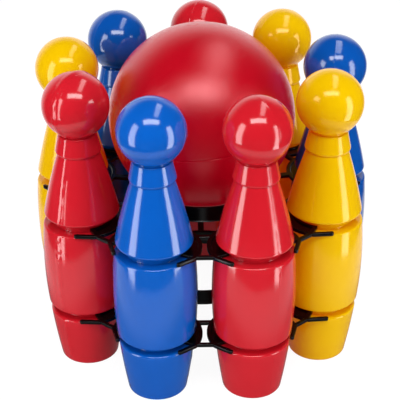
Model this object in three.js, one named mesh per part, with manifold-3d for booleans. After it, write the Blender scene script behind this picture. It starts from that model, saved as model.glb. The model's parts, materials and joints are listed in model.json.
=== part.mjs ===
// Garden ninepins set in its carrier: nine plastic pins, one large ball and two clip plates.
// The plates snap into two grooves round every pin, and the ball rests on the upper plate's ring.
// Millimetres, +Z up, front towards -Y. The origin is on the floor, under the middle of the set.
import * as THREE from 'three';
import { mergeVertices } from 'three/addons/utils/BufferGeometryUtils.js';
import Module from 'manifold-3d';

const wasm = await Module();
wasm.setup();

// Layout of the set
const RING_RADIUS = 124.6;
const GAP = 0.3;
const PIN_STEP = 40;
const PINS = [
  { name: 'blue_pin_front_left', azimuth: -20, colour: 'blue' },
  { name: 'red_pin_front_right', azimuth: 20, colour: 'red' },
  { name: 'red_pin_left_front', azimuth: -60, colour: 'red' },
  { name: 'yellow_pin_right_front', azimuth: 60, colour: 'yellow' },
  { name: 'yellow_pin_left', azimuth: -100, colour: 'yellow' },
  { name: 'blue_pin_right', azimuth: 100, colour: 'blue' },
  { name: 'blue_pin_back_left', azimuth: -140, colour: 'blue' },
  { name: 'yellow_pin_back_right', azimuth: 140, colour: 'yellow' },
  { name: 'red_pin_back', azimuth: 180, colour: 'red' },
];
// The back pin reaches further than the two front ones, so the ring sits this far forward
const RING_SHIFT = (RING_RADIUS - RING_RADIUS * Math.cos(THREE.MathUtils.degToRad(PIN_STEP / 2))) / 2;

// One pin, from the floor up
const PIN_HEIGHT = 280;
const PIN_SIDES = 16;
const FOOT = { baseRadius: 26.5, topRadius: 33.55, top: 51.7, baseEdge: 1.6, topEdge: 2 };
const BASE_HOLLOW = { radius: 16.5, depth: 2.6, slope: 2.5 };
const BARREL = { bottom: 59.3, top: 140.9, endRadius: 34.5, middleRadius: 36.6, edge: 2, steps: 4 };
const CONE = { bottom: 149, top: 207.9, bottomRadius: 33.9, topRadius: 18.2, edge: 2.4, swell: 0.9 };
const COLLAR = { top: 225.6, bottomRadius: 19.7, topRadius: 14.6, step: 1.8 };
const HEAD = { radius: 28.94, steps: 6 };
const GROOVE_RADIUS = 24.6;

// The ball
const BALL_RADIUS = 84.95;
const BALL_CENTRE = 212.4;
const BALL_SIDES = 24;
const BALL_RINGS = 13;

// One clip plate. Distances from the carrier's axis unless a name says otherwise
const PLATE = { thickness: 3.2, webThickness: 1.8 };
const PLATE_SEATS = { lower: FOOT.top + GAP, upper: BARREL.top + GAP };
const SEAT_RING = { innerRadius: 54.1, outerRadius: 57.3, height: 14.8, rise: 3.05, bead: 0.7, sides: 27 };
const SEAT_CHAMFER = { width: 1.1, height: 0.9 };
const CLIP = { innerRadius: 25.5, outerRadius: 40.8, mouth: 80, ribInner: 3, ribOuter: 3.8, endRib: 7, steps: 8 };
const PRONG = { width: 3.8, tip: new THREE.Vector2(19.9, 29.2) };
const INNER_BAR = { distance: 101.5, width: 4.4 };
const OUTER_BAR = { distance: 135, width: 3.6 };
const SPOKE_WIDTH = 6.4;
const LAP = 1;

const COLOURS = {
  blue: { color: 0x2460c4, roughness: 0.24, metalness: 0 },
  red: { color: 0xd11e2c, roughness: 0.24, metalness: 0 },
  yellow: { color: 0xf0b800, roughness: 0.24, metalness: 0 },
  ball: { color: 0xc41420, roughness: 0.38, metalness: 0 },
  carrier: { color: 0x141416, roughness: 0.32, metalness: 0 },
};

const radians = THREE.MathUtils.degToRad;

// A point at a radius and an angle in degrees
function polar(radius, degrees) {
  return new THREE.Vector2(radius * Math.cos(radians(degrees)), radius * Math.sin(radians(degrees)));
}

// Points of a round stretch, both ends included
function arc(centre, radius, from, to, steps) {
  const points = [];
  for (let i = 0; i <= steps; i += 1) {
    points.push(polar(radius, from + ((to - from) * i) / steps).add(centre));
  }
  return points;
}

// Closed solid from any closed three.js geometry
function toSolid(geometry) {
  const bare = geometry.clone();
  bare.deleteAttribute('normal');
  bare.deleteAttribute('uv');
  const merged = mergeVertices(bare, 1e-4);
  const index = merged.index.array;
  const corners = [];
  for (let i = 0; i < index.length; i += 3) {
    const [a, b, c] = [index[i], index[i + 1], index[i + 2]];
    if (a !== b && b !== c && c !== a) corners.push(a, b, c);
  }
  const mesh = new wasm.Mesh({
    numProp: 3,
    vertProperties: Float32Array.from(merged.attributes.position.array),
    triVerts: Uint32Array.from(corners),
  });
  return new wasm.Manifold(mesh);
}

// three.js geometry from a solid
function toGeometry(solid) {
  const mesh = solid.getMesh();
  const geometry = new THREE.BufferGeometry();
  geometry.setAttribute('position', new THREE.BufferAttribute(Float32Array.from(mesh.vertProperties), 3));
  geometry.setIndex(new THREE.BufferAttribute(Uint32Array.from(mesh.triVerts), 1));
  geometry.computeVertexNormals();
  return geometry;
}

// Solid of revolution about Z from a profile of (radius, height) points, listed from the bottom up
function turned(profile, sides) {
  return toSolid(new THREE.LatheGeometry(profile, sides).rotateX(Math.PI / 2));
}

// Flat solid between two heights from a closed outline
function flat(outline, bottom, top) {
  const shape = new THREE.Shape(outline);
  const geometry = new THREE.ExtrudeGeometry(shape, { depth: top - bottom, bevelEnabled: false });
  return toSolid(geometry.translate(0, 0, bottom));
}

// Outline of a straight bar between two points, with square ends
function barOutline(from, to, width) {
  const along = to.clone().sub(from).normalize();
  const side = new THREE.Vector2(-along.y, along.x).multiplyScalar(width / 2);
  return [from.clone().sub(side), to.clone().sub(side), to.clone().add(side), from.clone().add(side)];
}

// Foot: hollow base, flare, and the shoulder that carries the lower plate
function footProfile() {
  return [
    new THREE.Vector2(0, BASE_HOLLOW.depth),
    new THREE.Vector2(BASE_HOLLOW.radius, BASE_HOLLOW.depth),
    new THREE.Vector2(BASE_HOLLOW.radius + BASE_HOLLOW.slope, 0),
    new THREE.Vector2(FOOT.baseRadius - FOOT.baseEdge, 0),
    new THREE.Vector2(FOOT.baseRadius, FOOT.baseEdge),
    new THREE.Vector2(FOOT.topRadius, FOOT.top - FOOT.topEdge),
    new THREE.Vector2(FOOT.topRadius - FOOT.topEdge, FOOT.top),
  ];
}

// Barrel: both ends rounded, and a long arc that swells to the middle
function barrelProfile() {
  const halfLength = (BARREL.top - BARREL.bottom) / 2 - BARREL.edge;
  const middle = (BARREL.top + BARREL.bottom) / 2;
  const swell = BARREL.middleRadius - BARREL.endRadius;
  const points = [
    new THREE.Vector2(GROOVE_RADIUS, FOOT.top),
    new THREE.Vector2(GROOVE_RADIUS, BARREL.bottom),
    new THREE.Vector2(BARREL.endRadius - BARREL.edge, BARREL.bottom),
  ];
  for (let i = 0; i <= BARREL.steps; i += 1) {
    const place = (2 * i) / BARREL.steps - 1;
    points.push(new THREE.Vector2(BARREL.middleRadius - swell * place * place, middle + halfLength * place));
  }
  points.push(new THREE.Vector2(BARREL.endRadius - BARREL.edge, BARREL.top));
  points.push(new THREE.Vector2(GROOVE_RADIUS, BARREL.top));
  return points;
}

// Cone: a rounded skirt over the upper groove, tapering with a slight swell to the collar
function coneProfile() {
  const skirtCentre = new THREE.Vector2(CONE.bottomRadius - CONE.edge, CONE.bottom + CONE.edge);
  const skirt = arc(skirtCentre, CONE.edge, -90, 0, 2);
  const start = skirt[skirt.length - 1];
  const points = [new THREE.Vector2(GROOVE_RADIUS, CONE.bottom), ...skirt];
  for (const place of [0.5, 1]) {
    const radius = start.x + (CONE.topRadius - start.x) * place + CONE.swell * 4 * place * (1 - place);
    points.push(new THREE.Vector2(radius, start.y + (CONE.top - start.y) * place));
  }
  return points;
}

// Collar and round head
function headProfile() {
  const centre = new THREE.Vector2(0, PIN_HEIGHT - HEAD.radius);
  const neckAngle = -THREE.MathUtils.radToDeg(Math.acos(COLLAR.topRadius / HEAD.radius));
  const head = arc(centre, HEAD.radius, neckAngle, 90, HEAD.steps);
  head[HEAD.steps].x = 0;
  return [
    new THREE.Vector2(COLLAR.bottomRadius, CONE.top + COLLAR.step),
    new THREE.Vector2(COLLAR.topRadius, COLLAR.top),
    ...head.slice(1),
  ];
}

function buildPin() {
  return turned([...footProfile(), ...barrelProfile(), ...coneProfile(), ...headProfile()], PIN_SIDES);
}

function buildBall() {
  const profile = arc(new THREE.Vector2(0, 0), BALL_RADIUS, -90, 90, BALL_RINGS);
  profile[0].x = 0;
  profile[BALL_RINGS].x = 0;
  return turned(profile, BALL_SIDES);
}

// Central ring of a clip plate. Its chamfer follows the ball, and a bead stiffens its lower edge
function seatRing() {
  const top = PLATE.thickness + SEAT_RING.rise;
  const bottom = top - SEAT_RING.height;
  const { innerRadius, outerRadius, bead } = SEAT_RING;
  const profile = [
    new THREE.Vector2(innerRadius, bottom),
    new THREE.Vector2(outerRadius, bottom),
    new THREE.Vector2(outerRadius + bead, bottom + bead),
    new THREE.Vector2(outerRadius, bottom + 2 * bead),
    new THREE.Vector2(outerRadius, top),
    new THREE.Vector2(innerRadius + SEAT_CHAMFER.width, top),
    new THREE.Vector2(innerRadius, top - SEAT_CHAMFER.height),
    new THREE.Vector2(innerRadius, bottom),
  ];
  return turned(profile, SEAT_RING.sides);
}

// Band between two radii round a pin, open towards the front of the clip
function bandOutline(inner, outer, mouth) {
  const centre = new THREE.Vector2(0, 0);
  const outside = arc(centre, outer, mouth, 360 - mouth, CLIP.steps);
  return [...outside, ...arc(centre, inner, 360 - mouth, mouth, CLIP.steps)];
}

// Straight finger from the clip's outer corner to a round tip, on the side given by the sign
function prong(side) {
  const root = polar(CLIP.outerRadius - PRONG.width / 2, CLIP.mouth);
  const tip = PRONG.tip.clone();
  const along = THREE.MathUtils.radToDeg(tip.clone().sub(root).angle());
  const [rightRoot, , , leftRoot] = barOutline(root, tip, PRONG.width);
  const outline = [leftRoot, rightRoot, ...arc(tip, PRONG.width / 2, along - 90, along + 90, 3)];
  const placed = outline.map((point) => new THREE.Vector2(point.x, side * point.y));
  return flat(placed, 0, PLATE.thickness);
}

// Spring clip round one pin, centred on the pin, its mouth towards +X.
// A pocket in its top leaves a thin web between the two rims.
function clip() {
  const { innerRadius, outerRadius, mouth, ribInner, ribOuter, endRib } = CLIP;
  const band = flat(bandOutline(innerRadius, outerRadius, mouth), 0, PLATE.thickness);
  const pocketOutline = bandOutline(innerRadius + ribInner, outerRadius - ribOuter, mouth + endRib);
  const pocket = flat(pocketOutline, PLATE.webThickness, PLATE.thickness + LAP);
  return band.subtract(pocket).add(prong(1)).add(prong(-1));
}

// Straight bar across the gap between two clips, square to the gap's middle line along +X
function gapBar({ distance, width }) {
  const halfGap = RING_RADIUS * Math.sin(radians(PIN_STEP / 2));
  const fromClip = Math.abs(distance - RING_RADIUS * Math.cos(radians(PIN_STEP / 2)));
  const reach = halfGap - Math.sqrt((CLIP.outerRadius - LAP) ** 2 - fromClip ** 2);
  const ends = [new THREE.Vector2(distance, -reach), new THREE.Vector2(distance, reach)];
  return flat(barOutline(...ends, width), 0, PLATE.thickness);
}

function spoke() {
  const inner = new THREE.Vector2(SEAT_RING.innerRadius + LAP, 0);
  const outer = new THREE.Vector2(RING_RADIUS - CLIP.outerRadius + LAP, 0);
  return flat(barOutline(inner, outer, SPOKE_WIDTH), 0, PLATE.thickness);
}

// Clip plate: the seat ring, and for each pin a spoke, a clip and the bars to the next clip
function buildPlate() {
  const sector = clip().translate([RING_RADIUS, 0, 0]).add(spoke());
  const bars = gapBar(INNER_BAR).add(gapBar(OUTER_BAR));
  let plate = seatRing();
  for (const { azimuth } of PINS) {
    const turn = azimuth - 90;
    plate = plate.add(sector.rotate([0, 0, turn])).add(bars.rotate([0, 0, turn + PIN_STEP / 2]));
  }
  return plate;
}

function addPiece(group, name, geometry, finish) {
  const mesh = new THREE.Mesh(geometry, new THREE.MeshStandardMaterial(finish));
  mesh.name = name;
  group.add(mesh);
  return mesh;
}

const group = new THREE.Group();
const set = new THREE.Group();
set.position.y = -RING_SHIFT;
group.add(set);

for (const { name, azimuth, colour } of PINS) {
  const pin = addPiece(set, name, toGeometry(buildPin()), COLOURS[colour]);
  pin.position.set(RING_RADIUS * Math.sin(radians(azimuth)), -RING_RADIUS * Math.cos(radians(azimuth)), 0);
}

addPiece(set, 'ball', toGeometry(buildBall()), COLOURS.ball).position.z = BALL_CENTRE;

for (const [level, seat] of Object.entries(PLATE_SEATS)) {
  addPiece(set, `${level}_clip_plate`, toGeometry(buildPlate()), COLOURS.carrier).position.z = seat;
}

export default group;
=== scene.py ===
"""Visual model of a garden ninepins set in its carrier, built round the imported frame.

Metres, +Z up, front towards -Y. A finished mesh has its place in its vertices.
"""

import json
import logging
import math
from collections.abc import Callable
from dataclasses import dataclass, field
from enum import Enum
from typing import NamedTuple

import bmesh
import bpy
from bmesh.types import BMEdge, BMesh, BMVert
from bpy.types import ID, Material, Node, NodeSocket, NodeTree, Object, World
from mathutils import Matrix, Quaternion, Vector, noise

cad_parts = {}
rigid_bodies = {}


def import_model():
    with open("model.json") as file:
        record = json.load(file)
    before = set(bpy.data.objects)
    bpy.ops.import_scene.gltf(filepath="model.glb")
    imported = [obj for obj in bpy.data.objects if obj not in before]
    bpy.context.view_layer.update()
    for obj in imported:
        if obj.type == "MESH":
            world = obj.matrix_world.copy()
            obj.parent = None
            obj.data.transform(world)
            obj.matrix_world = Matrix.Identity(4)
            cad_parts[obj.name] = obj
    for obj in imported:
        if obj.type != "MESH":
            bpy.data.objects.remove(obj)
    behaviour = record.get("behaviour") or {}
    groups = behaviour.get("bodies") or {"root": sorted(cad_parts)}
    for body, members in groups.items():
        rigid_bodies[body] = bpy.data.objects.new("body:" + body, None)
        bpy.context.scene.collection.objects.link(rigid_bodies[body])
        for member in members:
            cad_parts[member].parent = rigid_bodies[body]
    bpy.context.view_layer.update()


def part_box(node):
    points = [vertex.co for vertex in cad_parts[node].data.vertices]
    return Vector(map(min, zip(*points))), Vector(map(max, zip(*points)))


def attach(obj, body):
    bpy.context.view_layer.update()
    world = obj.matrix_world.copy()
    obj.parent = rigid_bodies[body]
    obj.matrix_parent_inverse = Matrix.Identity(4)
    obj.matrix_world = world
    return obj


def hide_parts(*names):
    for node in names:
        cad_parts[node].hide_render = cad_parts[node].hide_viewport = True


LOG = logging.getLogger("ninepins")
MM = 0.001
UP = Vector((0.0, 0.0, 1.0))
SHARP_ANGLE = math.radians(38.0)
WELD = 1e-6
BEVEL_STEPS = 3
WHITE = (1.0, 1.0, 1.0, 1.0)
Pair = tuple[float, float]
Triple = tuple[float, float, float]


class PinColour(Enum):
    """Colours that a pin is moulded in."""

    BLUE = "pin_blue"
    RED = "pin_red"
    YELLOW = "pin_yellow"


class Corner(NamedTuple):
    """One corner of an outline, in millimetres, with the radius that rounds it."""

    across: float
    height: float
    rounding: float = 0.0


class Outline:
    """Chain of edges in the XZ plane, in metres, that is spun or extruded afterwards."""

    FINE_STEP = 0.45 * MM
    LONG_STEP = 4.0 * MM
    ARC_STEP = math.radians(15.0)

    def __init__(self) -> None:
        """Starts an empty outline."""
        self.bm = bmesh.new()
        self.pen: BMVert | None = None

    def start(self, place: Vector) -> None:
        """Puts the pen down at a point."""
        self.pen = self.bm.verts.new(place)

    def line_to(self, place: Vector) -> None:
        """Draws a straight stretch, with one short edge at each end and even ones between.

        Args:
            place: End of the stretch.
        """
        start = self.pen.co.copy()
        length = (place - start).length
        if length < WELD:
            return
        stops = [1.0]
        if length > 4 * self.FINE_STEP:
            inner = length - 2 * self.FINE_STEP
            count = max(1, math.ceil(inner / self.LONG_STEP))
            stops = [(self.FINE_STEP + inner * i / count) / length for i in range(count + 1)] + [1.0]
        for stop in stops:
            made = self.bm.verts.new(start.lerp(place, stop))
            self.bm.edges.new((self.pen, made))
            self.pen = made

    def arc(self, centre: Vector, turn: float, steps: int) -> None:
        """Spins the pen about a centre, which leaves a round stretch behind it.

        Args:
            centre: Centre of the arc.
            turn: Angle in radians, positive from +X towards +Z.
            steps: Number of edges.
        """
        made = bmesh.ops.spin(
            self.bm, geom=[self.pen], cent=centre, axis=(0.0, -1.0, 0.0), angle=turn, steps=steps,
        )
        self.pen = made["geom_last"][0]

    def draw(self, corners: list[Corner], closed: bool = False) -> None:
        """Draws a run of corners, each joined to the next and rounded as it says.

        Args:
            corners: The corners in order. An open outline starts at its first corner.
            closed: Whether the last corner joins the first.
        """
        places = [Vector((c.across, 0.0, c.height)) * MM for c in corners]
        count = len(places)
        first = 0 if closed else 1
        if self.pen is None:
            self.start((places[0] + places[-1]) / 2 if closed else places[0])
        opening = self.pen
        for i in range(first, count if closed else count - 1):
            here = places[i]
            radius = corners[i].rounding * MM
            if radius <= 0.0:
                self.line_to(here)
                continue
            back = (places[i - 1] - here).normalized()
            ahead = (places[(i + 1) % count] - here).normalized()
            half = back.angle(ahead) / 2
            turn = math.pi - 2 * half
            side = math.copysign(1.0, back.x * ahead.z - back.z * ahead.x)
            self.line_to(here + back * (radius / math.tan(half)))
            centre = here + (back + ahead).normalized() * (radius / math.sin(half))
            self.arc(centre, -side * turn, max(2, math.ceil(turn / self.ARC_STEP)))
        if closed:
            self.line_to(opening.co.copy())
            bmesh.ops.remove_doubles(self.bm, verts=self.bm.verts[:], dist=WELD)
        else:
            self.line_to(places[-1])

    def turned(self, steps: int) -> BMesh:
        """Spins the whole outline once about the Z axis into a closed body.

        Args:
            steps: Number of steps round the axis.

        Returns:
            The body, with its faces pointing out.
        """
        bm = self.bm
        bmesh.ops.spin(
            bm, geom=bm.verts[:] + bm.edges[:], cent=(0.0, 0.0, 0.0), axis=UP, angle=math.tau,
            steps=steps, use_merge=True,
        )
        bmesh.ops.remove_doubles(bm, verts=bm.verts[:], dist=WELD)
        bmesh.ops.recalc_face_normals(bm, faces=bm.faces[:])
        return bm

    def swept(self, turn: float, steps: int) -> BMesh:
        """Spins a closed outline part of the way about the Z axis and caps both ends.

        Args:
            turn: Angle in radians.
            steps: Number of steps along it.

        Returns:
            The body, with its faces pointing out.
        """
        bm = self.bm
        first = bm.edges[:]
        made = bmesh.ops.spin(
            bm, geom=bm.verts[:] + first, cent=(0.0, 0.0, 0.0), axis=UP, angle=turn, steps=steps,
        )
        last = [e for e in made["geom_last"] if isinstance(e, BMEdge)]
        for rim in (first, last):
            bmesh.ops.contextual_create(bm, geom=rim)
        bmesh.ops.recalc_face_normals(bm, faces=bm.faces[:])
        return bm


def bowed(start: Corner, end: Corner, sagitta: float, steps: int) -> list[Corner]:
    """Points between two corners on a shallow curve, whose middle stands out sideways.

    Args:
        start: Corner that the curve leaves.
        end: Corner that it reaches.
        sagitta: How far the middle stands out from the straight line, in millimetres.
        steps: Number of edges on the curve.

    Returns:
        The points between the two corners.
    """
    points = []
    for i in range(1, steps):
        share = i / steps
        across = start.across + (end.across - start.across) * share + 4 * sagitta * share * (1 - share)
        points.append(Corner(across, start.height + (end.height - start.height) * share))
    return points


def turn_about_z(bm: BMesh, angle: float) -> None:
    """Turns a whole bmesh about the Z axis, by an angle in radians."""
    bmesh.ops.rotate(bm, cent=(0, 0, 0), matrix=Matrix.Rotation(angle, 3, "Z"), verts=bm.verts[:])


def bar(start: Vector, end: Vector, width: float, top: float, rounding: float) -> BMesh:
    """Straight bar with rounded long edges, from a cube that is scaled, bevelled and moved.

    Args:
        start: Middle of one end, seen from above.
        end: Middle of the other end.
        width: Width across.
        top: Height of the upper side over an underside at zero.
        rounding: Radius of the long edges.

    Returns:
        The bar as a closed body.
    """
    bm = bmesh.new()
    bmesh.ops.create_cube(bm, size=1.0)
    along = end - start
    bmesh.ops.scale(bm, vec=(along.length, width, top), verts=bm.verts[:])
    long_edges = [e for e in bm.edges if abs((e.verts[0].co - e.verts[1].co).x) > along.length / 2]
    bmesh.ops.bevel(
        bm, geom=long_edges, offset=rounding, segments=BEVEL_STEPS, affect="EDGES", profile=0.5,
        material=-1,
    )
    middle = (start + end) / 2
    place = Matrix.Translation((middle.x, middle.y, top / 2))
    turn = Matrix.Rotation(math.atan2(along.y, along.x), 4, "Z")
    bmesh.ops.transform(bm, matrix=place @ turn, verts=bm.verts[:])
    bmesh.ops.recalc_face_normals(bm, faces=bm.faces[:])
    return bm


def finger(root: Vector, tip: Vector, width: float, top: float, rounding: float) -> BMesh:
    """Flat finger with round ends, from a disc that is drawn out, raised and bevelled.

    Args:
        root: Centre of the round end at the root, seen from above.
        tip: Centre of the round end at the tip.
        width: Width across.
        top: Height of the upper side over an underside at zero.
        rounding: Radius of the rims.

    Returns:
        The finger as a closed body.
    """
    sides = 24
    bm = bmesh.new()
    bmesh.ops.create_circle(bm, cap_ends=True, segments=sides, radius=width / 2)
    turn_about_z(bm, math.pi / sides)
    along = tip - root
    far = [v for v in bm.verts if v.co.x > 0]
    bmesh.ops.translate(bm, vec=(along.length, 0.0, 0.0), verts=far)
    raised = bmesh.ops.extrude_face_region(bm, geom=bm.faces[:])
    upper = [v for v in raised["geom"] if isinstance(v, BMVert)]
    bmesh.ops.translate(bm, vec=(0.0, 0.0, top), verts=upper)
    rims = [e for e in bm.edges if abs((e.verts[0].co - e.verts[1].co).z) < WELD]
    bmesh.ops.bevel(
        bm, geom=rims, offset=rounding, segments=BEVEL_STEPS, affect="EDGES", profile=0.5, material=-1,
    )
    turn = Matrix.Rotation(math.atan2(along.y, along.x), 4, "Z")
    place = Matrix.Translation((root.x, root.y, 0.0))
    bmesh.ops.transform(bm, matrix=place @ turn, verts=bm.verts[:])
    bmesh.ops.recalc_face_normals(bm, faces=bm.faces[:])
    return bm


def linked(name: str, data: ID) -> Object:
    """Makes an object of a mesh, a light or a camera and links it into the scene.

    Args:
        name: Name of the object.
        data: The mesh, light or camera.

    Returns:
        The object, at the origin.
    """
    made = bpy.data.objects.new(name, data)
    bpy.context.scene.collection.objects.link(made)
    return made


def to_object(bm: BMesh, name: str) -> Object:
    """Turns a bmesh into a linked object.

    Args:
        bm: The bmesh, which is freed.
        name: Name of the object and of its mesh.

    Returns:
        The object, at the origin.
    """
    mesh = bpy.data.meshes.new(name)
    bm.to_mesh(mesh)
    bm.free()
    return linked(name, mesh)


def united(name: str, bodies: list[BMesh]) -> BMesh:
    """Joins overlapping closed bodies into one closed skin.

    Args:
        name: Name for the work object.
        bodies: The closed bodies, which are used up.

    Returns:
        The joined body.
    """
    base = to_object(bodies[0], name)
    others = bpy.data.collections.new(name + "_parts")
    bpy.context.scene.collection.children.link(others)
    for i, body in enumerate(bodies[1:]):
        part = to_object(body, f"{name}_part_{i}")
        bpy.context.scene.collection.objects.unlink(part)
        others.objects.link(part)
    join = base.modifiers.new("join", "BOOLEAN")
    join.operation = "UNION"
    join.solver = "MANIFOLD"
    join.operand_type = "COLLECTION"
    join.collection = others
    bpy.context.view_layer.update()
    evaluated = base.evaluated_get(bpy.context.evaluated_depsgraph_get())
    result = bmesh.new()
    result.from_mesh(evaluated.to_mesh())
    evaluated.to_mesh_clear()
    for part in list(others.objects):
        bpy.data.objects.remove(part)
    bpy.data.collections.remove(others)
    bpy.data.objects.remove(base)
    return result


def smoothed(piece: Object) -> Object:
    """Shades a piece smooth, with sharp edges only where its faces meet at a real angle.

    Args:
        piece: The piece, whose mesh is changed.

    Returns:
        The same piece.
    """
    bm = bmesh.new()
    bm.from_mesh(piece.data)
    for face in bm.faces:
        face.smooth = True
    for edge in bm.edges:
        edge.smooth = edge.calc_face_angle(0.0) < SHARP_ANGLE
    bm.to_mesh(piece.data)
    bm.free()
    return piece


class NodeSheet:
    """Short way to add and link shader nodes in one node tree."""

    MIX_SOCKETS = {"VECTOR": (4, 5, 1), "RGBA": (6, 7, 2)}

    def __init__(self, tree: NodeTree) -> None:
        """Keeps the tree that the nodes go into."""
        self.tree = tree

    @classmethod
    def cleared(cls, owner: Material | World) -> "NodeSheet":
        """Opens the tree of a material or a world, without its first nodes.

        Args:
            owner: The material or the world.

        Returns:
            The sheet of its tree.
        """
        owner.use_nodes = True
        owner.node_tree.nodes.clear()
        return cls(owner.node_tree)

    def add(self, kind: str, settings: dict | None = None, **values: object) -> Node:
        """Adds one node.

        Args:
            kind: Type name of the node without its ShaderNode prefix.
            settings: The node's own properties.
            **values: Inputs by name, with _ for a space. A socket is linked, and anything else set.

        Returns:
            The new node.
        """
        node = self.tree.nodes.new("ShaderNode" + kind)
        for key, value in (settings or {}).items():
            setattr(node, key, value)
        for key, value in values.items():
            self.feed(node.inputs[key.replace("_", " ")], value)
        return node

    def feed(self, socket: NodeSocket, value: object) -> None:
        """Links a socket into an input, or sets the input to a plain value.

        Args:
            socket: The input.
            value: The socket or the plain value.
        """
        if isinstance(value, NodeSocket):
            self.tree.links.new(value, socket)
        else:
            socket.default_value = value

    def maths(self, operation: str, *values: object, clamp: bool = False) -> NodeSocket:
        """Adds a Math node.

        Args:
            operation: Name of the operation.
            *values: Its inputs in order.
            clamp: Whether the result stays between 0 and 1.

        Returns:
            The result's socket.
        """
        node = self.add("Math", {"operation": operation, "use_clamp": clamp})
        for socket, value in zip(node.inputs, values):
            self.feed(socket, value)
        return node.outputs[0]

    def ramp(self, value: NodeSocket, low: float, high: float) -> NodeSocket:
        """Adds a smooth step.

        Args:
            value: The value that is stepped.
            low: Where the step leaves 0.
            high: Where it reaches 1.

        Returns:
            The result's socket.
        """
        node = self.add(
            "MapRange", {"interpolation_type": "SMOOTHSTEP"}, Value=value, From_Min=low, From_Max=high,
        )
        return node.outputs["Result"]

    def mix(self, kind: str, share: object, first: object, second: object) -> NodeSocket:
        """Adds a Mix node.

        Args:
            kind: Its data type, VECTOR or RGBA.
            share: Share of the second value.
            first: Value where the share is 0.
            second: Value where the share is 1.

        Returns:
            The result's socket.
        """
        node = self.add("Mix", {"data_type": kind})
        first_input, second_input, result = self.MIX_SOCKETS[kind]
        for index, value in ((0, share), (first_input, first), (second_input, second)):
            self.feed(node.inputs[index], value)
        return node.outputs[result]

    def blend(self, share: object, first: NodeSocket, second: NodeSocket) -> NodeSocket:
        """Mixes two shaders.

        Args:
            share: Share of the second shader.
            first: Shader where the share is 0.
            second: Shader where the share is 1.

        Returns:
            The mixed shader's socket.
        """
        node = self.add("MixShader")
        for socket, value in zip(node.inputs, (share, first, second)):
            self.feed(socket, value)
        return node.outputs[0]

    def group(self, tree: NodeTree, **values: object) -> Node:
        """Adds a node group of a tree, with its inputs by name as in add."""
        return self.add("Group", {"node_tree": tree}, **values)


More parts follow.
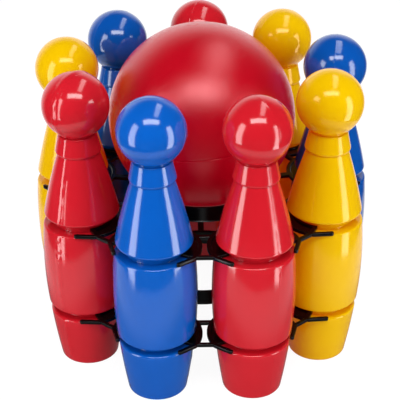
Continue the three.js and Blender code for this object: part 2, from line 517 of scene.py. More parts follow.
class SurfaceEffects:
    """Node groups that every plastic of the set shares."""

    BEND = 0.12
    HAIRLINE = 0.012
    PATCH_EDGE = (0.52, 0.72)
    RUBBED = 0.25
    DRIFT_EDGE = (0.3, 0.7)

    def __init__(self) -> None:
        """Builds the three groups once."""
        self.skin = self._moulded_skin()
        self.wear = self._handling_wear()
        self.tint = self._tint_drift()

    @staticmethod
    def _new_group(
        name: str, inputs: dict[str, float | tuple], output: str, kind: str,
    ) -> tuple[NodeSheet, dict, Node]:
        """Opens a group with number inputs, or colour inputs where a default has four values.

        Args:
            name: Name of the group.
            inputs: Input names and defaults.
            output: Name of its one output.
            kind: Socket type of the output.

        Returns:
            The sheet, the input sockets by name, and the output node.
        """
        tree = bpy.data.node_groups.new(name, "ShaderNodeTree")
        for label, default in inputs.items():
            coloured = isinstance(default, tuple)
            socket = tree.interface.new_socket(
                label, in_out="INPUT", socket_type="NodeSocketColor" if coloured else "NodeSocketFloat",
            )
            socket.default_value = default
        tree.interface.new_socket(output, in_out="OUTPUT", socket_type=kind)
        sheet = NodeSheet(tree)
        entry = tree.nodes.new("NodeGroupInput")
        return sheet, {s.name: s for s in entry.outputs if s.name}, tree.nodes.new("NodeGroupOutput")

    def _moulded_skin(self) -> NodeTree:
        """Height of a moulded surface: fine grain and the soft waves of a cooled wall.

        Returns:
            The group's tree.
        """
        sheet, given, out = self._new_group(
            "moulded_skin", {"Grain Scale": 2500.0, "Grain": 0.1, "Wave Scale": 60.0, "Wave": 1.0},
            "Height", "NodeSocketFloat",
        )
        place = sheet.add("TexCoord").outputs["Object"]
        grain = sheet.add("TexNoise", Vector=place, Scale=given["Grain Scale"], Detail=3.0, Roughness=0.6)
        wave = sheet.add("TexNoise", Vector=place, Scale=given["Wave Scale"], Detail=1.0, Roughness=0.4)
        fine = sheet.maths("MULTIPLY", grain.outputs[0], given["Grain"])
        soft = sheet.maths("MULTIPLY", wave.outputs[0], given["Wave"])
        sheet.feed(out.inputs[0], sheet.maths("ADD", fine, soft))
        return sheet.tree

    def _handling_wear(self) -> NodeTree:
        """Mask of hairline scratches, gathered in patches, and of faint rubbed areas.

        Returns:
            The group's tree.
        """
        sheet, given, out = self._new_group(
            "handling_wear", {"Scratch Scale": 90.0, "Patch Scale": 22.0, "Amount": 0.5},
            "Mask", "NodeSocketFloat",
        )
        place = sheet.add("TexCoord").outputs["Object"]
        bend = sheet.add("TexNoise", Vector=place, Scale=40.0, Detail=2.0)
        bent = sheet.mix("VECTOR", self.BEND, place, bend.outputs["Color"])
        lines = sheet.add(
            "TexVoronoi", {"feature": "DISTANCE_TO_EDGE"}, Vector=bent, Scale=given["Scratch Scale"],
        )
        hairline = sheet.maths("SUBTRACT", 1.0, sheet.ramp(lines.outputs["Distance"], 0.0, self.HAIRLINE))
        patch_noise = sheet.add("TexNoise", Vector=place, Scale=given["Patch Scale"], Detail=3.0)
        patch = sheet.ramp(patch_noise.outputs[0], *self.PATCH_EDGE)
        rubbed = sheet.maths("MULTIPLY", patch, self.RUBBED)
        marks = sheet.maths("ADD", sheet.maths("MULTIPLY", hairline, patch), rubbed, clamp=True)
        sheet.feed(out.inputs[0], sheet.maths("MULTIPLY", marks, given["Amount"]))
        return sheet.tree

    def _tint_drift(self) -> NodeTree:
        """Colour that drifts slowly between two shades, as pigment does in a thick wall.

        Returns:
            The group's tree.
        """
        sheet, given, out = self._new_group(
            "tint_drift",
            {"Light": WHITE, "Deep": (0.0, 0.0, 0.0, 1.0), "Drift Scale": 14.0},
            "Color", "NodeSocketColor",
        )
        place = sheet.add("TexCoord").outputs["Object"]
        cloud = sheet.add("TexNoise", Vector=place, Scale=given["Drift Scale"], Detail=4.0, Roughness=0.55)
        share = sheet.ramp(cloud.outputs[0], *self.DRIFT_EDGE)
        sheet.feed(out.inputs[0], sheet.mix("RGBA", share, given["Deep"], given["Light"]))
        return sheet.tree


@dataclass(frozen=True)
class MouldedPlastic:
    """One plastic: its two shades, its gloss, and how its surface was moulded and handled.

    The glow is painted light: an even emission that stands in for the light the thin wall of a hollow
    moulding passes on from its far sides, and lifts its shaded sides. The tint is the colour of its
    highlights, and both kinds of gloss are roughnesses.
    """

    name: str
    light: Triple
    deep: Triple
    worn: Triple
    # Painted light: an emission colour that lifts the shaded sides.
    glow: Triple
    gloss: float
    worn_gloss: float
    specular: float
    tint: Triple
    grain_scale: float
    grain: float
    wave_scale: float
    wave: float
    relief: float
    wear: float

    def material(self, effects: SurfaceEffects) -> Material:
        """Builds the material.

        Args:
            effects: The shared node groups.

        Returns:
            The finished material.
        """
        material = bpy.data.materials.new(self.name)
        material.diffuse_color = (*self.light, 1.0)
        sheet = NodeSheet.cleared(material)
        shades = sheet.group(effects.tint, Light=(*self.light, 1.0), Deep=(*self.deep, 1.0))
        wear = sheet.group(effects.wear, Amount=self.wear).outputs["Mask"]
        colour = sheet.mix("RGBA", wear, shades.outputs["Color"], (*self.worn, 1.0))
        roughness = sheet.maths("MULTIPLY_ADD", wear, self.worn_gloss - self.gloss, self.gloss)
        skin = sheet.group(
            effects.skin, Grain_Scale=self.grain_scale, Grain=self.grain,
            Wave_Scale=self.wave_scale, Wave=self.wave,
        )
        relief = sheet.add("Bump", Height=skin.outputs["Height"], Distance=self.relief, Strength=1.0)
        # The emission colour is the painted glow, painted light on the shaded sides.
        shader = sheet.add(
            "BsdfPrincipled", Base_Color=colour, Roughness=roughness, Normal=relief.outputs["Normal"],
            Specular_IOR_Level=self.specular, Specular_Tint=(*self.tint, 1.0),
            Emission_Color=(*self.glow, 1.0), Emission_Strength=1.0,
        )
        out = sheet.add("OutputMaterial")
        sheet.feed(out.inputs["Surface"], shader.outputs["BSDF"])
        return material


def pin_plastic(
    name: str, light: Triple, deep: Triple, worn: Triple, glow: Triple = (0.0, 0.0, 0.0),
    tint: Triple = WHITE[:3],
) -> MouldedPlastic:
    """Glossy blow-moulded plastic of a pin in one colour.

    Args:
        name: Name of the finish.
        light: Lighter shade.
        deep: Deeper shade.
        worn: Colour where it is scratched or rubbed.
        glow: Painted glow, an emission that stands in for the light that the wall passes on.
        tint: Colour of its highlights.

    Returns:
        The finish.
    """
    return MouldedPlastic(
        name, light, deep, worn, glow, gloss=0.13, worn_gloss=0.34, specular=0.55, tint=tint,
        grain_scale=900.0, grain=0.05, wave_scale=70.0, wave=0.7, relief=0.12 * MM, wear=0.18,
    )


# The red and yellow glows are painted light that lifts the pins' shaded sides.
FINISHES = {
    PinColour.BLUE: pin_plastic(
        "gloss_blue", (0.0015, 0.0865, 0.42), (0.001, 0.077, 0.38), (0.04, 0.14, 0.45),
    ),
    PinColour.RED: pin_plastic(
        "gloss_red", (0.45, 0.0085, 0.0165), (0.42, 0.0075, 0.014), (0.50, 0.05, 0.06),
        glow=(0.05, 0.0, 0.001),
    ),
    PinColour.YELLOW: pin_plastic(
        "gloss_yellow", (0.54, 0.405, 0.0003), (0.51, 0.38, 0.0002), (0.58, 0.44, 0.02),
        glow=(0.19, 0.004, 0.0), tint=(1.0, 0.65, 0.4),
    ),
}
# Darker copy of the blue: painted shade for the two blue pins further back.
SHADED_BLUE = pin_plastic(
    "gloss_blue_shaded", (0.001, 0.067, 0.335), (0.0008, 0.06, 0.305), (0.03, 0.11, 0.37),
)
# Its glow, the fourth colour, is painted light that lifts the ball's shaded lower side.
BALL_FINISH = MouldedPlastic(
    "satin_red", (0.30, 0.0003, 0.0065), (0.28, 0.0002, 0.0055), (0.33, 0.01, 0.02), (0.14, 0.0002, 0.003),
    gloss=0.2, worn_gloss=0.3, specular=1.0, tint=(1.0, 0.48, 0.5), grain_scale=1500.0, grain=2.2,
    wave_scale=30.0, wave=0.6, relief=0.08 * MM, wear=0.2,
)
CARRIER_FINISH = MouldedPlastic(
    "satin_black", (0.0012, 0.0012, 0.0014), (0.0008, 0.0008, 0.001), (0.006, 0.006, 0.007),
    (0.0, 0.0, 0.0), gloss=0.24, worn_gloss=0.4, specular=0.25, tint=WHITE[:3], grain_scale=1800.0,
    grain=0.5, wave_scale=120.0, wave=0.4, relief=0.05 * MM, wear=0.4,
)


@dataclass
class Seam:
    """Low ridge left where the two halves of the mould met, flat inside the clips. Millimetres.

    The waves are how often the noise on the ridge swings to a metre, across the pin and up it.
    """

    RIDGE_WAVES = (90.0, 260.0)
    FOOT_WAVES = (40.0, 160.0)
    SCAR_WAVES = (900.0, 420.0)

    half_width: float = 0.35
    height: float = 0.09
    steps: int = 3
    unevenness: float = 1.0
    foot_top: float = 50.0
    foot_height: float = 0.45
    scar_from: float = 0.0
    scar_to: float = 0.0
    scar_height: float = 0.0
    base_end: float = 4.0
    base_share: float = 0.4
    clip_levels: tuple[Pair, ...] = ((50.5, 60.5), (139.7, 150.0))
    clip_height: float = 0.1
    clip_slope: float = 0.5

    @staticmethod
    def _ripple(seed: float, across: float, up: float, waves: Pair) -> float:
        """Noise at a distance across the pin and a height."""
        return noise.noise(Vector((seed, across * waves[0], up * waves[1])))

    def rise(self, place: Vector, seed: float) -> float:
        """How far the ridge stands out at one place. It runs out at the base and at both its sides.

        Args:
            place: Point on the ridge, in metres, in the pin's own frame.
            seed: Number that sets this pin's unevenness apart.

        Returns:
            The height in metres.
        """
        crown = 0.5 + 0.5 * math.cos(math.pi * min(1.0, abs(place.y) / (self.half_width * MM)))
        swing = self._ripple(seed, place.x, place.z, self.RIDGE_WAVES)
        height = self.height * (1.0 + self.unevenness * swing)
        level = place.z / MM
        if level < self.foot_top:
            flash = self._ripple(seed + 7.0, place.x, place.z, self.FOOT_WAVES)
            height += self.foot_height * max(0.0, flash)
        if self.scar_from < level < self.scar_to and place.x < 0:
            height += self.scar_height * abs(self._ripple(seed + 3.0, place.y, place.z, self.SCAR_WAVES))
        from_clip = min(max(low - level, level - high, 0.0) for low, high in self.clip_levels)
        height = min(height, self.clip_height + self.clip_slope * from_clip)
        fade = min(1.0, max(0.0, level / self.base_end - self.base_share))
        return max(0.0, height) * crown * fade * MM


@dataclass
class Ninepin:
    """One hollow blow-moulded pin. Sizes in millimetres, heights from the floor.

    A shade stands in for its colour's usual finish; the darker blue given to two blue pins paints
    shade on them. Steps are counts of edges.
    """

    node: str
    body: str
    colour: PinColour
    seam_azimuth: float
    seam: Seam = field(default_factory=Seam)
    shade: MouldedPlastic | None = None
    steps: int = 96
    base_radius: float = 26.5
    foot_radius: float = 33.6
    foot_top: float = 51.7
    foot_swell: float = 0.5
    foot_steps: int = 12
    foot_rounding: float = 2.2
    rim_inner_rounding: float = 1.0
    rim_outer_rounding: float = 1.5
    hollow_radius: float = 16.5
    hollow_depth: float = 2.6
    hollow_slope: float = 2.4
    hollow_rounding: float = 1.2
    groove_radius: float = 24.6
    groove_rounding: float = 0.4
    barrel_bottom: float = 59.3
    barrel_top: float = 140.9
    barrel_end_radius: float = 34.5
    barrel_swell: float = 2.1
    barrel_steps: int = 24
    barrel_rounding: float = 2.0
    cone_bottom: float = 149.0
    cone_top: float = 207.9
    cone_bottom_radius: float = 33.9
    cone_top_radius: float = 18.2
    cone_swell: float = 0.9
    cone_steps: int = 16
    skirt_rounding: float = 2.4
    cone_top_rounding: float = 0.3
    collar_corner: Corner = Corner(20.3, 209.05, 2.3)
    collar_rim: Corner = Corner(16.7, 225.4, 0.8)
    neck_radius: float = 15.0
    neck_rise: float = 0.5
    head_radius: float = 28.94
    head_steps: int = 44
    height: float = 280.0
    shrinkage: float = 0.12
    shrink_waves: float = 26.0

    def outline(self) -> Outline:
        """Draws the pin's half section.

        Returns:
            The outline, from the middle of the base to the top of the head.
        """
        pen = Outline()
        pen.draw([
            Corner(0.0, self.hollow_depth),
            Corner(self.hollow_radius, self.hollow_depth, self.hollow_rounding),
            Corner(self.hollow_radius + self.hollow_slope, 0.0, self.rim_inner_rounding),
            *self._foot(),
            Corner(self.groove_radius, self.foot_top, self.groove_rounding),
            Corner(self.groove_radius, self.barrel_bottom, self.groove_rounding),
            *self._barrel(),
            Corner(self.groove_radius, self.barrel_top, self.groove_rounding),
            Corner(self.groove_radius, self.cone_bottom, self.groove_rounding),
            *self._cone(),
            *self._collar(),
        ])
        self._head(pen)
        return pen

    def _foot(self) -> list[Corner]:
        """Foot: it widens upwards, with a slight swell.

        Returns:
            Corners of its wall, from the base up.
        """
        low = Corner(self.base_radius, 0.0, self.rim_outer_rounding)
        high = Corner(self.foot_radius, self.foot_top, self.foot_rounding)
        return [low, *bowed(low, high, self.foot_swell, self.foot_steps), high]

    def _barrel(self) -> list[Corner]:
        """Barrel: rounded ends, and a long wall that swells to the middle.

        Returns:
            Corners of its wall, from the lower groove up.
        """
        low = Corner(self.barrel_end_radius, self.barrel_bottom, self.barrel_rounding)
        high = Corner(self.barrel_end_radius, self.barrel_top, self.barrel_rounding)
        return [low, *bowed(low, high, self.barrel_swell, self.barrel_steps), high]

    def _cone(self) -> list[Corner]:
        """Cone: a rounded skirt and a taper with a slight swell.

        Returns:
            Corners of its wall, from the upper groove up.
        """
        low = Corner(self.cone_bottom_radius, self.cone_bottom, self.skirt_rounding)
        high = Corner(self.cone_top_radius, self.cone_top, self.cone_top_rounding)
        return [low, *bowed(low, high, self.cone_swell, self.cone_steps), high]

    def _collar(self) -> list[Corner]:
        """Collar: it rounds out from the cone, tapers, and ends in a small rim under the head."""
        neck = Corner(self.neck_radius, self.collar_rim.height + self.neck_rise)
        return [self.collar_corner, self.collar_rim, neck]

    def _head(self, pen: Outline) -> None:
        """Head: a round arc from the neck up to the axis.

        Args:
            pen: The outline, whose pen stands at the neck.
        """
        centre = Vector((0.0, 0.0, self.height - self.head_radius)) * MM
        start = math.acos(self.neck_radius / self.head_radius)
        low = centre + Vector((math.cos(start), 0.0, -math.sin(start))) * self.head_radius * MM
        pen.line_to(low)
        pen.arc(centre, start + math.pi / 2, self.head_steps)
        pen.pen.co.x = 0.0

    def mesh(self) -> BMesh:
        """Spins the section and raises the mould's seam, which lies in the local XZ plane.

        Returns:
            The pin about the Z axis, not yet in its place.
        """
        bm = self.outline().turned(self.steps)
        half = self.seam.half_width * MM
        for step in range(-self.seam.steps, self.seam.steps + 1):
            if step:
                bmesh.ops.bisect_plane(
                    bm, geom=bm.verts[:] + bm.edges[:] + bm.faces[:], dist=WELD,
                    plane_co=(0.0, half * step / self.seam.steps, 0.0), plane_no=(0.0, 1.0, 0.0),
                )
        bm.normal_update()
        seed = math.radians(self.seam_azimuth) * 5.0
        ridge = [v for v in bm.verts if abs(v.co.y) < half]
        raised = {v: v.co + v.normal * self.seam.rise(v.co, seed) for v in ridge}
        self._relax(bm, seed)
        for vert, place in raised.items():
            vert.co = place
        return bm

    def _relax(self, bm: BMesh, seed: float) -> None:
        """Lets the wall draw in a little where it cooled last, as a blown wall does.

        Args:
            bm: The pin's mesh, which is changed.
            seed: Number that sets this pin apart.
        """
        for vert in bm.verts:
            drawn = noise.noise(vert.co * self.shrink_waves + Vector((seed, 0.0, 0.0)))
            vert.co -= vert.normal * (self.shrinkage * MM) * (0.5 + 0.5 * drawn)

    def build(self, effects: SurfaceEffects) -> Object:
        """Makes the pin in its place, with its material and body.

        Args:
            effects: The shared node groups.

        Returns:
            The finished piece.
        """
        low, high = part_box(self.node)
        axis = (low + high) / 2
        bm = self.mesh()
        turn = Matrix.Rotation(math.radians(self.seam_azimuth - 90.0), 4, "Z")
        place = Matrix.Translation((axis.x, axis.y, low.z))
        bmesh.ops.transform(bm, matrix=place @ turn, verts=bm.verts[:])
        piece = smoothed(to_object(bm, self.node + "_moulding"))
        piece.data.materials.append(finish_material(self.shade or FINISHES[self.colour], effects))
        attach(piece, self.body)
        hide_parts(self.node)
        return piece


@dataclass
class ThrowingBall:
    """Large hollow ball with a parting line and the mark of its blow hole. Millimetres."""

    node: str = "ball"
    body: str = "lift_out_ball"
    steps: int = 160
    rings: int = 96
    plug_axis: Triple = (-0.092, 0.104, 0.99)
    plug_radius: float = 4.6
    plug_half_width: float = 0.8
    plug_depth: float = 0.3
    plug_steps: int = 3
    cap_steps: int = 4
    line_axis: Triple = (-0.096, -0.054, 0.994)
    line_depth: float = 0.35
    line_half_width: float = 0.6

    def mesh(self, radius: float) -> BMesh:
        """Spins half a circle round the blow hole's axis and sinks the mark and the parting line.

        Args:
            radius: Radius in metres.

        Returns:
            The ball round the origin.
        """
        middle = Vector((0.0, 0.0, 0.0))
        pen = Outline()
        pen.start(Vector((0.0, 0.0, -radius)))
        mark = self.plug_radius * MM / radius
        half = self.plug_half_width * MM / radius
        pen.arc(middle, math.pi - mark - half, self.rings)
        pen.arc(middle, half, self.plug_steps)
        floor = pen.pen
        pen.arc(middle, half, self.plug_steps)
        pen.arc(middle, mark - half, self.cap_steps)
        floor.co *= 1.0 - self.plug_depth * MM / radius
        pen.pen.co.x = 0.0
        bm = pen.turned(self.steps)
        lean = UP.rotation_difference(Vector(self.plug_axis)).to_matrix()
        bmesh.ops.rotate(bm, cent=middle, matrix=lean, verts=bm.verts[:])
        normal = Vector(self.line_axis).normalized()
        for step in (-1.0, 1.0, 0.0):
            bmesh.ops.bisect_plane(
                bm, geom=bm.verts[:] + bm.edges[:] + bm.faces[:], dist=WELD,
                plane_co=normal * step * self.line_half_width * MM, plane_no=normal,
            )
        for vert in bm.verts:
            if abs(vert.co.dot(normal)) < WELD:
                vert.co -= vert.co.normalized() * self.line_depth * MM
        return bm

    def build(self, effects: SurfaceEffects) -> Object:
        """Makes the ball in its place, with its material and body.

        Args:
            effects: The shared node groups.

        Returns:
            The finished piece.
        """
        low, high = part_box(self.node)
        bm = self.mesh((high.z - low.z) / 2)
        bmesh.ops.translate(bm, vec=(low + high) / 2, verts=bm.verts[:])
        piece = smoothed(to_object(bm, "ball_moulding"))
        piece.data.materials.append(finish_material(BALL_FINISH, effects))
        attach(piece, self.body)
        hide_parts(self.node)
        return piece


@dataclass
class ClipPlate:
    """One clip plate: seat ring, spokes, spring clips with prongs, and gap bars. Millimetres."""

    node: str
    pin_azimuths: tuple[float, ...]
    ring_radius: float = 124.6
    body: str = "carrier"
    thickness: float = 3.2
    web: float = 1.8
    rounding: float = 0.6
    ring_inner: float = 54.1
    ring_outer: float = 57.3
    ring_height: float = 14.8
    ring_rise: float = 3.05
    ring_bead: float = 0.7
    ring_chamfer: Pair = (1.1, 0.9)
    ring_steps: int = 180
    clip_inner: float = 25.5
    clip_outer: float = 40.8
    clip_mouth: float = 80.0
    rim_inner: float = 3.0
    rim_outer: float = 3.8
    rim_slope: float = 0.3
    band_steps: int = 60
    end_rib_turn: float = 3.5
    end_rib_width: float = 4.2
    end_rib_inset: float = 0.6
    prong_width: float = 3.8
    prong_tip: Pair = (19.9, 29.2)
    inner_bar: Pair = (101.5, 4.4)
    outer_bar: Pair = (135.0, 3.6)
    spoke_width: float = 6.4
    pin_step: float = 40.0
    lap: float = 1.0

    def ring(self) -> BMesh:
        """Seat ring: the chamfer under the ball, a plain wall and a bead along its lower edge.

        Returns:
            The ring, on the height of a plate that lies at zero.
        """
        top = self.thickness + self.ring_rise
        bottom = top - self.ring_height
        pen = Outline()
        pen.draw([
            Corner(self.ring_inner, bottom, rounding=0.5),
            Corner(self.ring_outer, bottom, rounding=0.4),
            Corner(self.ring_outer + self.ring_bead, bottom + self.ring_bead, rounding=0.4),
            Corner(self.ring_outer, bottom + 2 * self.ring_bead, rounding=0.3),
            Corner(self.ring_outer, top, rounding=0.5),
            Corner(self.ring_inner + self.ring_chamfer[0], top, rounding=0.3),
            Corner(self.ring_inner, top - self.ring_chamfer[1], rounding=0.3),
        ], closed=True)
        return pen.turned(self.ring_steps)

    def band(self) -> BMesh:
        """Channel of one spring clip.

        Returns:
            The channel, round a pin at the origin, with its mouth towards +X.
        """
        inner, outer, edge = self.clip_inner, self.clip_outer, self.rounding
        pen = Outline()
        pen.draw([
            Corner(inner, 0.0, edge),
            Corner(outer, 0.0, edge),
            Corner(outer, self.thickness, edge),
            Corner(outer - self.rim_outer, self.thickness, edge),
            Corner(outer - self.rim_outer - self.rim_slope, self.web, rounding=0.4),
            Corner(inner + self.rim_inner + self.rim_slope, self.web, rounding=0.4),
            Corner(inner + self.rim_inner, self.thickness, edge),
            Corner(inner, self.thickness, edge),
        ], closed=True)
        mouth = math.radians(self.clip_mouth)
        bm = pen.swept(math.tau - 2 * mouth, self.band_steps)
        turn_about_z(bm, mouth)
        return bm

    def _solid(self, shape: Callable, start: Vector, end: Vector, width: float) -> BMesh:
        """Makes a bar or a finger as thick as the plate. Its points and width are in millimetres."""
        return shape(start * MM, end * MM, width * MM, self.thickness * MM, self.rounding * MM)

    def clip_parts(self) -> list[BMesh]:
        """Makes everything of one clip.

        Returns:
            The channel, its closed ends and the prongs, round a pin at the origin.
        """
        parts = [self.band()]
        mouth = math.radians(self.clip_mouth)
        end = mouth + math.radians(self.end_rib_turn)
        tip = Vector(self.prong_tip)
        root = Vector((math.cos(mouth), math.sin(mouth))) * (self.clip_outer - self.prong_width / 2)
        near, far = self.clip_inner + self.end_rib_inset, self.clip_outer - self.end_rib_inset
        for side in (1.0, -1.0):
            flip = Vector((1.0, side))
            ray = Vector((math.cos(end), math.sin(end))) * flip
            parts.append(self._solid(finger, root * flip, tip * flip, self.prong_width))
            parts.append(self._solid(bar, ray * near, ray * far, self.end_rib_width))
        return parts

    def gap_bar(self, distance: float, width: float) -> BMesh:
        """Bar across the gap between two clips, square to the gap's middle line along +X.

        Args:
            distance: Distance of the bar from the carrier's axis.
            width: Its width.

        Returns:
            The bar.
        """
        half_step = math.radians(self.pin_step / 2)
        from_clip = abs(distance - self.ring_radius * math.cos(half_step))
        chord = math.sqrt((self.clip_outer - self.lap) ** 2 - from_clip ** 2)
        reach = self.ring_radius * math.sin(half_step) - chord
        return self._solid(bar, Vector((distance, -reach)), Vector((distance, reach)), width)

    def spoke(self) -> BMesh:
        """Makes one spoke, from the seat ring to the back of a clip.

        Returns:
            The spoke, along +X.
        """
        start = Vector((self.ring_inner + self.lap, 0.0))
        end = Vector((self.ring_radius - self.clip_outer + self.lap, 0.0))
        return self._solid(bar, start, end, self.spoke_width)

    def sector(self) -> BMesh:
        """Makes one ninth of the plate.

        Returns:
            A clip at the pins' distance along +X, joined with its spoke and its gap bars.
        """
        parts = self.clip_parts()
        for part in parts:
            bmesh.ops.translate(part, vec=(self.ring_radius * MM, 0.0, 0.0), verts=part.verts[:])
        parts.append(self.spoke())
        for distance, width in (self.inner_bar, self.outer_bar):
            made = self.gap_bar(distance, width)
            turn_about_z(made, math.radians(self.pin_step / 2))
            parts.append(made)
        return united("sector", parts)

    def build(self, effects: SurfaceEffects) -> Object:
        """Makes the plate in its place, with its material and body.

        Args:
            effects: The shared node groups.

        Returns:
            The finished piece.
        """
        _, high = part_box(self.node)
        sector = self.sector()
        parts = [self.ring()]
        for azimuth in self.pin_azimuths:
            copy = sector.copy()
            turn_about_z(copy, math.radians(azimuth - 90.0))
            parts.append(copy)
        sector.free()
        plate = united(self.node + "_work", parts)
        seat = high.z - (self.thickness + self.ring_rise) * MM
        bmesh.ops.translate(plate, vec=(0.0, plate_centre().y, seat), verts=plate.verts[:])
        piece = smoothed(to_object(plate, self.node + "_moulding"))
        piece.data.materials.append(finish_material(CARRIER_FINISH, effects))
        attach(piece, self.body)
        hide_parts(self.node)
        return piece


def plate_centre() -> Vector:
    """Axis of the carrier, which the ball sits on."""
    low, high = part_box("ball")
    return (low + high) / 2


def finish_material(finish: MouldedPlastic, effects: SurfaceEffects) -> Material:
    """Material of a finish, made at its first use and then shared."""
    return bpy.data.materials.get(finish.name) or finish.material(effects)


@dataclass
class SoftBox:
    """Rectangular studio light that faces its aim. Metres, and brightness as radiance."""

    name: str
    place: Triple
    width: float
    height: float
    radiance: float
    aim: Triple = (0.0, -0.08, 0.22)
    turn: float = 0.0

    def build(self) -> None:
        """Makes the light, turned towards its aim and then about its own axis."""
        data = bpy.data.lights.new(self.name, "AREA")
        data.shape = "RECTANGLE"
        data.size = self.width
        data.size_y = self.height
        data.energy = self.radiance * math.pi * self.width * self.height
        lamp = linked(self.name, data)
        lamp.location = self.place
        away = Vector(self.place) - Vector(self.aim)
        facing = away.to_track_quat("Z", "Y") @ Quaternion((0.0, 0.0, 1.0), math.radians(self.turn))
        lamp.rotation_euler = facing.to_euler()


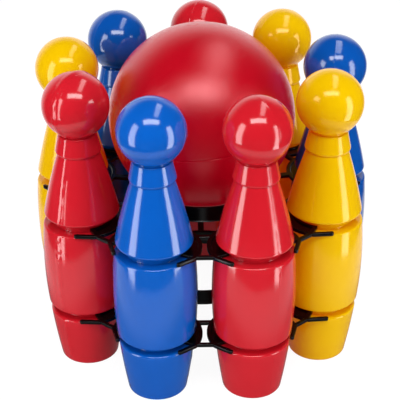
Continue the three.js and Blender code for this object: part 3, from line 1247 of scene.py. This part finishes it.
@dataclass
class Studio:
    """Floor, lights, room and camera. None of it belongs to the set.

    The shade and the table are what the floor shows in gloss: dim close to the set, then bright, and
    nothing past the table's radius. A backdrop's pair says where it starts or ends in a direction.
    Metres, degrees and radiances.
    """

    camera_place: Triple = (-0.01649, -0.90401, 0.6133)
    camera_pitch: float = 61.50
    camera_turn: float = -0.93
    camera_roll: float = -0.21
    lens: float = 96.72
    sensor: float = 36.0
    floor_radius: float = 3.0
    floor_sides: int = 96
    floor_drop: float = 0.2 * MM
    floor_paint: float = 0.86
    floor_backlight: float = 1.05
    backlit_share: float = 0.9
    table_radius: float = 0.39
    shade_from: float = 0.19
    shade_to: float = 0.275
    shade_gloss: float = 0.2
    table_gloss: float = 0.85
    room: float = 0.25
    room_seen: float = 1.02
    backdrop: float = 1.0
    room_gloss: float = 0.03
    backdrop_gloss: float = 1.15
    backdrop_rear: Pair = (0.1, 0.7)
    backdrop_rear_gloss: Pair = (0.3, 0.85)
    backdrop_right_end: Pair = (0.3, 0.75)
    backdrop_top: Pair = (0.35, 0.8)

    def build(self) -> None:
        """Builds the whole studio."""
        self._camera()
        self._floor()
        self._room()
        for box in self._soft_boxes():
            box.build()
        bpy.context.scene.view_settings.view_transform = "Standard"

    def _soft_boxes(self) -> list[SoftBox]:
        """Two tall boxes beside the camera, one long box over it, and a strip overhead.

        Returns:
            The four lights.
        """
        return [
            SoftBox("tall_box_left", (-1.26, -0.80, 0.29), 0.53, 1.70, 7.2, turn=-6.0),
            SoftBox("tall_box_right", (1.265, -0.74, 0.05), 0.49, 1.85, 7.9),
            SoftBox("long_box_front", (0.01, -1.02, 1.53), 1.38, 0.42, 10.6),
            SoftBox(
                "strip_overhead", (0.37, 0.15, 1.50), 0.30, 1.40, 4.5, aim=(0.37, 0.15, 0.0), turn=-6.0,
            ),
        ]

    def _camera(self) -> None:
        """Camera at the photograph's angle."""
        data = bpy.data.cameras.new("camera")
        data.lens = self.lens
        data.sensor_fit = "HORIZONTAL"
        data.sensor_width = self.sensor
        data.clip_start = 0.05
        camera = linked("camera", data)
        turn = Matrix.Rotation(math.radians(self.camera_turn), 4, "Z")
        pitch = Matrix.Rotation(math.radians(self.camera_pitch), 4, "X")
        roll = Matrix.Rotation(math.radians(self.camera_roll), 4, "Z")
        camera.matrix_world = Matrix.Translation(self.camera_place) @ turn @ pitch @ roll
        bpy.context.scene.camera = camera

    def _floor(self) -> None:
        """Pale round floor. In gloss it shows only as a white table, shaded close to the set."""
        bm = bmesh.new()
        bmesh.ops.create_circle(bm, cap_ends=True, segments=self.floor_sides, radius=self.floor_radius)
        bmesh.ops.translate(bm, vec=(0.0, 0.0, -self.floor_drop), verts=bm.verts[:])
        floor = to_object(bm, "floor")
        material = bpy.data.materials.new("floor_white")
        sheet = NodeSheet.cleared(material)
        path = sheet.add("LightPath").outputs
        paint = sheet.add("BsdfDiffuse", Color=(self.floor_paint, self.floor_paint, self.floor_paint, 1.0))
        backlit = sheet.add("Emission", Strength=self.floor_backlight)
        distance = sheet.add("VectorMath", {"operation": "LENGTH"})
        sheet.feed(distance.inputs[0], sheet.add("TexCoord").outputs["Object"])
        away = distance.outputs["Value"]
        clear = sheet.ramp(away, self.shade_from, self.shade_to)
        level = sheet.maths("MULTIPLY_ADD", clear, self.table_gloss - self.shade_gloss, self.shade_gloss)
        table = sheet.blend(
            sheet.maths("GREATER_THAN", away, self.table_radius),
            sheet.add("Emission", Strength=level).outputs[0], sheet.add("BsdfTransparent").outputs[0],
        )
        seen = sheet.blend(
            sheet.maths("MULTIPLY", path["Is Camera Ray"], self.backlit_share),
            paint.outputs[0], backlit.outputs[0],
        )
        out = sheet.add("OutputMaterial")
        sheet.feed(out.inputs["Surface"], sheet.blend(path["Is Glossy Ray"], seen, table))
        floor.data.materials.append(material)

    def _room(self) -> None:
        """White behind the set, and a dim room with a bright backdrop in its gloss."""
        world = bpy.data.worlds.new("room")
        sheet = NodeSheet.cleared(world)
        path = sheet.add("LightPath").outputs
        parts = sheet.add("SeparateXYZ", Vector=sheet.add("TexCoord").outputs["Generated"]).outputs
        low = sheet.maths("SUBTRACT", 1.0, sheet.ramp(parts["Z"], *self.backdrop_top))
        wide = sheet.maths("MULTIPLY", sheet.ramp(parts["Y"], *self.backdrop_rear), low)
        left = sheet.maths("SUBTRACT", 1.0, sheet.ramp(parts["X"], *self.backdrop_right_end))
        behind = sheet.maths("MULTIPLY", sheet.ramp(parts["Y"], *self.backdrop_rear_gloss), left)
        narrow = sheet.maths("MULTIPLY", behind, low)
        lit, gloss = (
            sheet.add(
                "Background", Color=WHITE, Strength=sheet.maths("MULTIPLY_ADD", shape, bright, dim),
            ).outputs[0]
            for shape, bright, dim in (
                (wide, self.backdrop, self.room), (narrow, self.backdrop_gloss, self.room_gloss),
            )
        )
        seen = sheet.add("Background", Color=WHITE, Strength=self.room_seen).outputs[0]
        around = sheet.blend(path["Is Glossy Ray"], lit, gloss)
        out = sheet.add("OutputWorld")
        sheet.feed(out.inputs["Surface"], sheet.blend(path["Is Camera Ray"], around, seen))
        bpy.context.scene.world = world


PINS = (
    Ninepin("blue_pin_front_left", "front_left_pin", PinColour.BLUE, 88.0),
    Ninepin("red_pin_front_right", "front_right_pin", PinColour.RED, 32.0, Seam(height=0.035)),
    Ninepin("red_pin_left_front", "left_front_pin", PinColour.RED, 146.0,
            Seam(half_width=4.6, height=0.5, steps=7, scar_from=236.0, scar_to=268.0, scar_height=1.0)),
    Ninepin("yellow_pin_right_front", "right_front_pin", PinColour.YELLOW, 95.0),
    Ninepin("yellow_pin_left", "left_pin", PinColour.YELLOW, 70.0),
    # These two blue pins take the darker blue, which is painted shade.
    Ninepin("blue_pin_right", "right_pin", PinColour.BLUE, -11.0, shade=SHADED_BLUE),
    Ninepin("blue_pin_back_left", "back_left_pin", PinColour.BLUE, -50.0, shade=SHADED_BLUE),
    Ninepin("yellow_pin_back_right", "back_right_pin", PinColour.YELLOW, 120.0),
    Ninepin("red_pin_back", "back_pin", PinColour.RED, -25.0),
)
PIN_AZIMUTHS = tuple(40.0 * i - 20.0 for i in range(9))


def main() -> None:
    logging.basicConfig(level=logging.INFO, format="%(message)s")
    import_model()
    Studio().build()
    effects = SurfaceEffects()
    plates = [ClipPlate(name, PIN_AZIMUTHS) for name in ("lower_clip_plate", "upper_clip_plate")]
    makers = [*PINS, ThrowingBall(), *plates]
    for maker in makers:
        piece = maker.build(effects)
        LOG.info("%s: %d faces", piece.name, len(piece.data.polygons))


if __name__ == "__main__":
    main()
